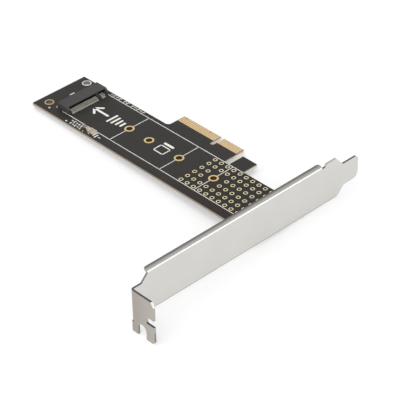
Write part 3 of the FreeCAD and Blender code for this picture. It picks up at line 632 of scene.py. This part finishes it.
def satin_nickel_sheet():
    """Sheet steel with a satin nickel finish, tumbled: even, with fine speckle and soft reflections.

    The tab carries painted shade and its sheared edges are duller and darker; faces that look up are
    darker, as duller edges and painted darker reflection, most at the narrow flange's free edge; and a
    strip along the plate's lower edge carries a painted reflection of the shaded floor. Their tones are
    laid over the sheet's in that order.
    """
    material, tree, shader = speckled(
        "satin_nickel_sheet", "#d5d4d0", "#d0cfcb",
        grain_mm=0.35, rough=(0.27, 0.33), metallic=1.0, relief_mm=0.003,
    )
    split = place_on_card(tree)[1]
    normal = way_faced(tree)
    colour = shader.inputs["Base Color"].links[0].from_socket
    # the tab's painted shade, its duller sheared edges, duller edges and painted darker reflection on
    # faces that look up, and the painted reflection of the shaded floor along the plate's lower edge
    for where, tone in (
        (tab_painted_shade, "#a59e97"),
        (on_tab_edge, "#b3aea8"),
        (upward_dullness_and_shade, "#5f5c58"),
        (lower_edge_painted_reflection, "#8a8783"),
    ):
        amount = where(tree, split, normal).outputs["Value"]
        laid = add(
            tree,
            "ShaderNodeMix",
            {AMOUNT: amount, FIRST: colour, SECOND: linear(tone)},
            data_type="RGBA",
        )
        colour = laid.outputs[MIXED]
    tree.links.new(colour, shader.inputs["Base Color"])
    return material


def lined_hole(name, land, land_dark, wall):
    """A plated screw hole: its land as given, its wall darker, because it lies in its own shade."""
    material, tree, shader = speckled(
        name, land, land_dark,
        grain_mm=0.3, rough=(0.36, 0.48), metallic=0.85, relief_mm=0.003,
    )
    flat = lying_flat(tree, way_faced(tree), FLAT_ON_LAND)
    plain = shader.inputs["Base Color"].links[0].from_socket
    tone = add(
        tree, "ShaderNodeMix", {AMOUNT: flat, FIRST: linear(wall), SECOND: plain}, data_type="RGBA"
    )
    tree.links.new(tone.outputs[MIXED], shader.inputs["Base Color"])
    return material


# hard gold over nickel: warm, smooth, with faint wipe marks along the fingers
HARD_GOLD = speckled(
    "hard_gold", "#f9e9ba", "#f1d9a0",
    grain_mm=0.4, rough=(0.34, 0.44), metallic=0.8, relief_mm=0.002, stretch=(6, 1, 6),
)[0]
# immersion gold on the lands: paler and matter
LAND_GOLD = lined_hole("immersion_gold", "#fdeab8", "#f3d79c", "#8d6f36")
# the corner holes: bright tin on one, tin worn down to brown copper on the other
HOLE_TIN = lined_hole("tinned_hole", "#fbf8f5", "#e6e1dc", "#958a82")
WORN_TIN = lined_hole("worn_tinned_hole", "#ead5c4", "#cfb29c", "#8f744e")
# the cooling holes' rings carry the same gold over rougher copper, and look greener
RING_GOLD = speckled(
    "ring_gold", "#fbf5d2", "#f0e7b8",
    grain_mm=0.3, rough=(0.38, 0.50), metallic=0.75, relief_mm=0.003,
)[0]
# matt tin: pale grey with a grain of small crystals
MATT_TIN = speckled(
    "matt_tin", "#e3ded6", "#c8c1b7",
    grain_mm=0.25, rough=(0.36, 0.52), metallic=0.85, relief_mm=0.006,
)[0]
# the socket is moulded in black glass-filled plastic with a fine spark-eroded texture
SOCKET_PLASTIC = shaded_in_mouth(
    speckled(
        "socket_plastic", "#403e3c", "#353332",
        grain_mm=0.2, rough=(0.42, 0.55), metallic=0.0, relief_mm=0.006,
    ),
    "#0d0c0b",
)
# gold-flashed spring alloy, bright on the jaw and dark where the roof shades it
SPRING_ALLOY = shaded_in_mouth(
    speckled(
        "spring_alloy", "#f3eee2", "#dcd6c8",
        grain_mm=0.3, rough=(0.34, 0.46), metallic=0.45, relief_mm=0.002,
    ),
    "#171512",
)
# nickel plated screws: bright and evenly reflecting
SCREW_NICKEL = speckled(
    "screw_nickel", "#cfcdc8", "#b9b6b0",
    grain_mm=0.3, rough=(0.28, 0.38), metallic=1.0, relief_mm=0.003,
)[0]
# fired ceramic of the capacitors: tan and pinkish brown, faintly mottled
TAN_CERAMIC = speckled(
    "tan_ceramic", "#b9a48c", "#a08c76",
    grain_mm=0.3, rough=(0.45, 0.60), metallic=0.0, relief_mm=0.006,
)[0]
BROWN_CERAMIC = speckled(
    "brown_ceramic", "#97807a", "#7f6a63",
    grain_mm=0.3, rough=(0.45, 0.60), metallic=0.0, relief_mm=0.006,
)[0]
# the same lacquer where it runs into a hole: dull, and painted darker than on the board as the shade
# inside the hole
HOLE_LACQUER_IN_SHADE = speckled(
    "hole_lacquer_in_shade", "#1d1a16", "#12100d",
    grain_mm=0.3, rough=(0.60, 0.75), metallic=0.0, relief_mm=0.003,
)[0]
# epoxy ink, screen printed: off-white, slightly chalky and thin in spots
WHITE_INK = speckled(
    "white_ink", "#f6f4f0", "#e0ddd7",
    grain_mm=0.5, rough=(0.60, 0.72), metallic=0.0, relief_mm=0.004,
)[0]

FINISHES = {
    "circuit_board": lacquered_glass_fibre(),
    "slot_bracket": satin_nickel_sheet(),
    "component_side_contacts": HARD_GOLD,
    "solder_side_contacts": HARD_GOLD,
    "corner_hole_lower": WORN_TIN,
    "corner_hole_upper": HOLE_TIN,
    "socket_housing": SOCKET_PLASTIC,
    "socket_contacts_lower": SPRING_ALLOY,
    "socket_contacts_upper": SPRING_ALLOY,
    "hold_down_lower": MATT_TIN,
    "hold_down_upper": MATT_TIN,
    "large_chip_ceramic": TAN_CERAMIC,
    "large_chip_ends": MATT_TIN,
    "small_chip_ceramic": BROWN_CERAMIC,
    "small_chip_ends": MATT_TIN,
    "bracket_screws": SCREW_NICKEL,
}
FINISHES.update({f"plated_hole_{length}": LAND_GOLD for length in MODULE_HOLES})
for name, finish in FINISHES.items():
    nodes[name].data.materials.clear()
    nodes[name].data.materials.append(finish)


def new_piece(name, points_mm, faces, finish, slot, smooth=False):
    """A mesh object at the origin from points in millimetres, which rides on the card."""
    mesh = bpy.data.meshes.new(name)
    mesh.from_pydata((np.asarray(points_mm) * MM).tolist(), [], faces)
    mesh.materials.append(finish)
    mesh.update()
    mesh.polygons.foreach_set("use_smooth", [smooth] * len(mesh.polygons))
    piece = bpy.data.objects.new(name, mesh)
    bpy.context.collection.objects.link(piece)
    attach(piece, "root")
    return piece


def merged(shapes):
    """Several shapes, each of points and faces, as one."""
    points, faces, first = [], [], 0
    for shape_points, shape_faces in shapes:
        points.append(shape_points)
        faces.extend([[corner + first for corner in face] for face in shape_faces])
        first += len(shape_points)
    return np.concatenate(points), faces


def ring_faces(loops, around):
    """Quads of a closed tube of loops times around points, both ways joined, in point order."""
    i, j = np.meshgrid(np.arange(loops), np.arange(around), indexing="ij")
    here, beyond = i * around, (i + 1) % loops * around
    j_next = (j + 1) % around
    return np.stack([here + j, here + j_next, beyond + j_next, beyond + j], -1).reshape(-1, 4)


def turned_rings(profile, centres, around):
    """Rings round upright axes: point (i, j) is (r_i cos a_j, r_i sin a_j, z_i) plus the ring's centre.

    The profile is a closed loop of (r, z) that runs anticlockwise with r to the right and z up.
    """
    profile = np.asarray(profile, float)
    angles = np.arange(around) * 2 * math.pi / around
    radius, height = profile[:, :1], profile[:, 1:]
    ring = np.stack(
        [radius * np.cos(angles), radius * np.sin(angles), height * np.ones(around)], -1
    ).reshape(-1, 3)
    centres = np.asarray(centres, float)
    points = (centres[:, None, :] + ring[None]).reshape(-1, 3)
    quads = ring_faces(len(profile), around)
    steps = np.arange(len(centres))[:, None, None] * len(ring)
    faces = (quads[None] + steps).reshape(-1, 4)
    return points, faces.tolist()


def cooling_hole_places():
    """Six columns by ten rows, without those that a module screw land would touch."""
    places = []
    for row in range(VIA_ROWS):
        along = FIRST_VIA_ROW + row * VIA_PITCH
        for column in VIA_COLUMNS:
            for side in (-1, 1):
                across = side * column
                gaps = [math.hypot(along - hole, across) for hole in MODULE_HOLES.values()]
                if min(gaps) > VIA_KEEP_OFF:
                    places.append((along, MODULE_AXIS + across, 0.0))
    return places


def cooling_hole_rings():
    """A flat gold ring on each face round every cooling hole, with soft edges."""
    section = [
        (VIA_LAND, -RING_SUNK),
        (VIA_LAND, RING_HEIGHT - RING_EDGE),
        (VIA_LAND - RING_EDGE, RING_HEIGHT),
        (VIA_RING_BORE + RING_EDGE, RING_HEIGHT),
        (VIA_RING_BORE, RING_HEIGHT - RING_EDGE),
        (VIA_RING_BORE, -RING_SUNK),
    ]
    rings = []
    for face, out in ((BOARD_TOP, 1), (BOARD_UNDER, -1)):
        profile = [(radius, face + out * height) for radius, height in section][::out]
        rings.append(turned_rings(profile, cooling_hole_places(), VIA_SIDES))
    return new_piece("cooling_hole_rings", *merged(rings), RING_GOLD, "gold_plating")


def cooling_hole_barrels():
    """The lacquer that runs into the cooling holes, painted darker than on the board as the shade inside
    them.
    """
    bore = VIA_BARREL - VIA_WALL
    profile = [
        (VIA_BARREL, BOARD_UNDER),
        (VIA_BARREL, BOARD_TOP),
        (bore, BOARD_TOP),
        (bore, BOARD_UNDER),
    ]
    points, faces = turned_rings(profile, cooling_hole_places(), VIA_SIDES)
    return new_piece("cooling_hole_barrels", points, faces, HOLE_LACQUER_IN_SHADE, "board_lacquer")


def ink_strokes(strokes):
    """Flat strokes with round ends on the component side.

    Each stroke is (x0, y0, x1, y1, width). Its outline is half a circle of the width round one end and
    half a circle round the other, carried from just inside the lacquer up to the ink's height.
    """
    strokes = np.asarray(strokes, float)
    half_turn = np.linspace(-math.pi / 2, math.pi / 2, 7)
    start, end, width = strokes[:, None, 0:2], strokes[:, None, 2:4], strokes[:, None, 4]
    heading = np.arctan2(strokes[:, 3] - strokes[:, 1], strokes[:, 2] - strokes[:, 0])[:, None]
    turns = [heading + half_turn, heading + math.pi + half_turn]
    arcs = [
        centre + (width / 2)[..., None] * np.stack([np.cos(turn), np.sin(turn)], -1)
        for centre, turn in zip((end, start), turns)
    ]
    outline = np.concatenate(arcs, 1)
    count = outline.shape[1]
    levels = [BOARD_TOP - PRINT_SUNK, BOARD_TOP + PRINT_HEIGHT]
    rims = [np.concatenate([outline, np.full(outline.shape[:2] + (1,), level)], -1) for level in levels]
    points = np.stack(rims, 1).reshape(-1, 3)
    low, high = np.arange(count), np.arange(count) + count
    faces = []
    for first in np.arange(len(strokes)) * 2 * count:
        faces.append((first + low[::-1]).tolist())
        faces.append((first + high).tolist())
        sides = np.stack([low, np.roll(low, -1), np.roll(high, -1), high], -1) + first
        faces.extend(sides.tolist())
    return points, faces


def module_outline():
    """The printed outline of a module: two long lines, and a line across at 30, 60 and 80 mm."""
    lower = MODULE_AXIS - OUTLINE_HALF
    upper = MODULE_AXIS + OUTLINE_HALF
    strokes = [
        (MODULE_STOP + LOWER_LINE_START, lower, BOARD_HIGH[0] - LOWER_LINE_MARGIN, lower, LINE_WIDTH),
        (MODULE_STOP + UPPER_LINE_START, upper, MODULE_STOP + UPPER_LINE_END, upper, LINE_WIDTH),
    ]
    gap = LAND_RADIUS + LAND_MARGIN
    for length in (30, 60, 80):
        across = MODULE_HOLES[length]
        strokes.append((across, lower, across, MODULE_AXIS - gap, LINE_WIDTH))
        strokes.append((across, MODULE_AXIS + gap, across, upper, LINE_WIDTH))
    return strokes


def from_stop(start_along, start_across, end_along, end_across, width):
    """A stroke that is measured from the module's stop and its axis, in the card's frame."""
    return (
        MODULE_STOP + start_along,
        MODULE_AXIS + start_across,
        MODULE_STOP + end_along,
        MODULE_AXIS + end_across,
        width,
    )


def arrow_and_bars():
    """An arrow that points to the socket, and four shorter and shorter bars behind it."""
    head_along, head_across = ARROW_HEAD
    shaft, barb = ARROW_STROKES
    tip = MODULE_STOP + ARROW_TIP
    strokes = [(tip, MODULE_AXIS, tip + ARROW_SHAFT, MODULE_AXIS, shaft)]
    for side in (-1, 1):
        strokes.append((tip, MODULE_AXIS, tip + head_along, MODULE_AXIS + side * head_across, barb))
    for number, reach in enumerate(BARS_REACH):
        along = MODULE_STOP + BARS_START + number * BARS_PITCH
        strokes.append((along, MODULE_AXIS - reach, along, MODULE_AXIS + reach, BARS_STROKE))
    return strokes


def box_and_bar():
    """A box with a bar above it, between the 42 and 60 mm holes.

    Its long sides are wider than its short ones, so that no two rounded ends have points in common.
    """
    low, high = BOX_ACROSS
    near, far = BOX_ALONG
    corners = [(near, low), (far, low), (far, high), (near, high)]
    strokes = []
    for start, end in zip(corners, corners[1:] + corners[:1]):
        width = BOX_STROKES[0] if start[1] == end[1] else BOX_STROKES[1]
        strokes.append(from_stop(*start, *end, width))
    return strokes + [from_stop(*BOX_BAR)]


def tick_row(side, middle, groups, pitch, lean, hook):
    """Leaning ticks of uneven length, each with a small hook at its end on the row's outer side."""
    strokes = []
    centre = MODULE_AXIS + middle
    for first, count in groups:
        for number in range(count):
            along = MODULE_STOP + first + number * pitch
            reach = TICK_LENGTHS[(number + count) % len(TICK_LENGTHS)] / 2
            end = centre + side * reach
            strokes.append((along, centre - reach, along + lean, centre + reach, TICK_STROKE))
            strokes.append((along, end, along + hook, end - side * HOOK_SLANT, HOOK_STROKE))
    return strokes


def plain_marks():
    """Generic marks in white: an arrow to the socket, bars, a box, rows of ticks and a few dots."""
    return (
        arrow_and_bars()
        + box_and_bar()
        + tick_row(*UPPER_TICKS)
        + [from_stop(*mark) for mark in SMALL_MARKS]
        + tick_row(*LOWER_TICKS)
        + tick_row(*LOWEST_TICKS)
    )


def white_print():
    """All white print as one thin layer of ink."""
    points, faces = ink_strokes(module_outline() + plain_marks())
    return new_piece("white_print", points, faces, WHITE_INK, "board_lacquer")


def rounded_block(low, high, radius, steps=5):
    """A block with round edges: each surface point is its nearest point of the inner block, pushed out.

    The inner block is the block less the radius on every side. A point of the outer block's grid is
    clamped to it, and the rest of the way is set to the radius.
    """
    low, high = np.asarray(low, float), np.asarray(high, float)
    centre, half = (low + high) / 2, (high - low) / 2
    bend = np.sin(np.linspace(0, math.pi / 2, steps)) * radius
    axes = [np.concatenate([-h + radius - bend[::-1], h - radius + bend]) for h in half]
    points, faces = [], []
    for axis in range(3):
        first, second = [other for other in range(3) if other != axis]
        u, v = np.meshgrid(axes[first], axes[second], indexing="ij")
        for side in (-1, 1):
            grid = np.zeros(u.shape + (3,))
            grid[..., first] = u
            grid[..., second] = v
            grid[..., axis] = side * half[axis]
            core = np.clip(grid, -half + radius, half - radius)
            way = grid - core
            grid = core + radius * way / np.linalg.norm(way, axis=-1, keepdims=True)
            rows, columns = u.shape
            i, j = np.meshgrid(np.arange(rows - 1), np.arange(columns - 1), indexing="ij")
            corner = i * columns + j + sum(len(p) for p in points)
            quads = np.stack([corner, corner + columns, corner + columns + 1, corner + 1], -1)
            # a grid over X and Z winds the other way round than one over X and Y or Y and Z
            outwards = side * (1 if axis != 1 else -1)
            faces.extend(quads.reshape(-1, 4)[:, ::outwards].tolist())
            points.append(grid.reshape(-1, 3))
    return np.concatenate(points) + centre, faces


def weld(piece, distance_mm):
    """Merges points closer than a distance, so that seams are closed."""
    shape = bmesh.new()
    shape.from_mesh(piece.data)
    bmesh.ops.remove_doubles(shape, verts=shape.verts, dist=distance_mm * MM)
    shape.to_mesh(piece.data)
    shape.free()


def chip_part(name, finish, slot, wrap):
    """A chip capacitor: a ceramic block with round edges between two dipped metal ends."""
    low, high = box_mm(name + "_ceramic")
    ends_low, ends_high = box_mm(name + "_ends")
    block_low = [ends_low[0] + CAP_THICKNESS, low[1], low[2]]
    block_high = [ends_high[0] - CAP_THICKNESS, high[1], high[2]]
    points, faces = rounded_block(block_low, block_high, CHIP_EDGE)
    block = new_piece(name + "_block", points, faces, finish, slot, smooth=True)
    weld(block, SEAM)
    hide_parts(name + "_ceramic")
    caps = [
        rounded_block(ends_low, [ends_low[0] + wrap, ends_high[1], ends_high[2]], CAP_EDGE),
        rounded_block([ends_high[0] - wrap, ends_low[1], ends_low[2]], ends_high, CAP_EDGE),
    ]
    caps = new_piece(name + "_caps", *merged(caps), MATT_TIN, "tinned_metal", smooth=True)
    weld(caps, SEAM)
    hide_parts(name + "_ends")


def solder_fillets(name):
    """Solder from each metal end down to its pad.

    The section is a hollow quarter circle from the end's wall to the pad, carried across the part.
    """
    low, high = box_mm(name + "_ends")
    rise = min(SOLDER_RISE, (high[2] - low[2]) * SOLDER_SHARE)
    turn = np.linspace(0, math.pi / 2, 8)
    hollow = np.stack([SOLDER_REACH * (1 - np.sin(turn)), rise * (1 - np.cos(turn))], -1)
    backs = [
        [-SOLDER_INTO_WALL, rise],
        [-SOLDER_INTO_WALL, -SOLDER_INTO_BOARD],
        [SOLDER_REACH, -SOLDER_INTO_BOARD],
    ]
    section = np.concatenate([hollow, backs])
    shapes = []
    for side, wall in ((-1, low[0]), (1, high[0])):
        rims = []
        for across in (low[1] - SOLDER_PAST, high[1] + SOLDER_PAST):
            rim = np.zeros((len(section), 3))
            rim[:, 0] = wall + side * section[:, 0]
            rim[:, 1] = across
            rim[:, 2] = BOARD_TOP + section[:, 1]
            rims.append(rim)
        count = len(section)
        near, far = np.arange(count), np.arange(count) + count
        quads = np.stack([near, far, np.roll(far, -1), np.roll(near, -1)], -1)
        faces = [near.tolist(), far[::-1].tolist()] + quads.tolist()
        if side < 0:
            faces = [face[::-1] for face in faces]
        shapes.append((np.concatenate(rims), faces))
    return new_piece(name + "_solder", *merged(shapes), MATT_TIN, "tinned_metal")


def white_paper():
    """Lit paper: about half of its white is reflected, the rest shines through, so shadows are faint.
    Under the board its glow is turned down, as a painted shadow.
    """
    material, tree, shader = new_material("white_paper")
    shader.inputs["Base Color"].default_value = linear("#bebebe")
    shader.inputs["Emission Color"].default_value = linear("#ffffff")
    shaded = inside_box(
        tree,
        place_on_card(tree)[1],
        (BOARD_LOW[0] + FLOOR_SHADE_INSET, BOARD_LOW[1] + FLOOR_SHADE_START, None),
        (PLATE_FACE - FLOOR_SHADE_BACK, FLOOR_SHADE_END, None),
    )
    glow = add(
        tree,
        "ShaderNodeMapRange",
        {"Value": shaded, "To Min": FLOOR_GLOW, "To Max": FLOOR_SHADE_GLOW},
    )
    tree.links.new(glow.outputs["Result"], shader.inputs["Emission Strength"])
    shader.inputs["Roughness"].default_value = 1.0
    shader.inputs["Specular IOR Level"].default_value = 0.0
    return material


def white_floor():
    """A flat white sheet in the plane through the three points on which the card lies."""
    supports = [
        Vector((PLATE_FACE - SHEET, PLATE_TOUCH, PLATE_LOW)),
        Vector((PLATE_FACE - SHEET + FOOT_INSET, BRACKET_LOW[1] + SHEET, BRACKET_LOW[2])),
        Vector((BOARD_LOW[0], BOARD_TOUCH, BOARD_UNDER)),
    ]
    up = (supports[1] - supports[0]).cross(supports[2] - supports[0]).normalized()
    if up.z < 0:
        up = -up
    corners = []
    for side_along, side_across in ((-1, -1), (1, -1), (1, 1), (-1, 1)):
        along, across = side_along * FLOOR_HALF, side_across * FLOOR_HALF
        drop = up.x * (along - supports[0].x) + up.y * (across - supports[0].y)
        height = supports[0].z - drop / up.z
        corners.append((along * MM, across * MM, (height - FLOOR_GAP) * MM))
    mesh = bpy.data.meshes.new("white_floor")
    mesh.from_pydata(corners, [], [(0, 1, 2, 3)])
    mesh.materials.append(white_paper())
    floor = bpy.data.objects.new("white_floor", mesh)
    bpy.context.collection.objects.link(floor)


def studio_light():
    """A white surround, dimmer behind the card, a low bright window beyond it and a wide lamp above.

    Surround and window each brighten smoothly with the cosine to the way in which they are brightest.
    """
    world = bpy.data.worlds.new("studio")
    world.use_nodes = True
    tree = world.node_tree
    tree.nodes.clear()
    place = add(tree, "ShaderNodeTexCoord").outputs["Generated"]
    levels = []
    for way, start, full, dim, bright in (SURROUND, WINDOW):
        towards = add(tree, "ShaderNodeVectorMath", {0: place, 1: way}, operation="DOT_PRODUCT")
        level = add(
            tree,
            "ShaderNodeMapRange",
            {
                "Value": towards.outputs["Value"],
                "From Min": start,
                "From Max": full,
                "To Min": dim,
                "To Max": bright,
            },
            interpolation_type="SMOOTHSTEP",
        )
        levels.append(level.outputs["Result"])
    total = add(tree, "ShaderNodeMath", {0: levels[0], 1: levels[1]}, operation="ADD")
    light = add(
        tree,
        "ShaderNodeBackground",
        {"Color": linear("#ffffff"), "Strength": total.outputs["Value"]},
    )
    add(tree, "ShaderNodeOutputWorld", {"Surface": light.outputs["Background"]})
    bpy.context.scene.world = world

    lamp = bpy.data.lights.new("soft_lamp", "SUN")
    lamp.energy = LAMP_STRENGTH
    lamp.angle = LAMP_WIDTH
    holder = bpy.data.objects.new("soft_lamp", lamp)
    holder.rotation_mode = "QUATERNION"
    holder.rotation_quaternion = Vector(LAMP_WAY).to_track_quat("Z", "Y")
    bpy.context.collection.objects.link(holder)


def photo_camera():
    """The camera at the photograph's viewing angle, turned about its line of sight by the roll."""
    place = Vector(CAMERA_PLACE)
    ahead = (Vector(CAMERA_AIM) - place).normalized()
    level = ahead.cross(Vector((0, 0, 1))).normalized()
    above = level.cross(ahead)
    right = level * math.cos(CAMERA_ROLL) - above * math.sin(CAMERA_ROLL)
    up = right.cross(ahead)
    lens = bpy.data.cameras.new("photo_camera")
    lens.sensor_width = SENSOR
    lens.lens = FOCAL_PIXELS / PHOTO_WIDTH * SENSOR
    lens.clip_start = 0.01
    lens.clip_end = 10.0
    camera = bpy.data.objects.new("photo_camera", lens)
    turn = Matrix((right, up, -ahead)).transposed()
    camera.matrix_world = Matrix.Translation(place * MM) @ turn.to_4x4()
    bpy.context.collection.objects.link(camera)
    bpy.context.scene.camera = camera


cooling_hole_rings()
cooling_hole_barrels()
white_print()
chip_part("large_chip", TAN_CERAMIC, "tan_ceramic", LARGE_CHIP_WRAP)
chip_part("small_chip", BROWN_CERAMIC, "brown_ceramic", SMALL_CHIP_WRAP)
solder_fillets("large_chip")
solder_fillets("small_chip")
white_floor()
studio_light()
photo_camera()
bpy.context.scene.view_settings.view_transform = "Standard"
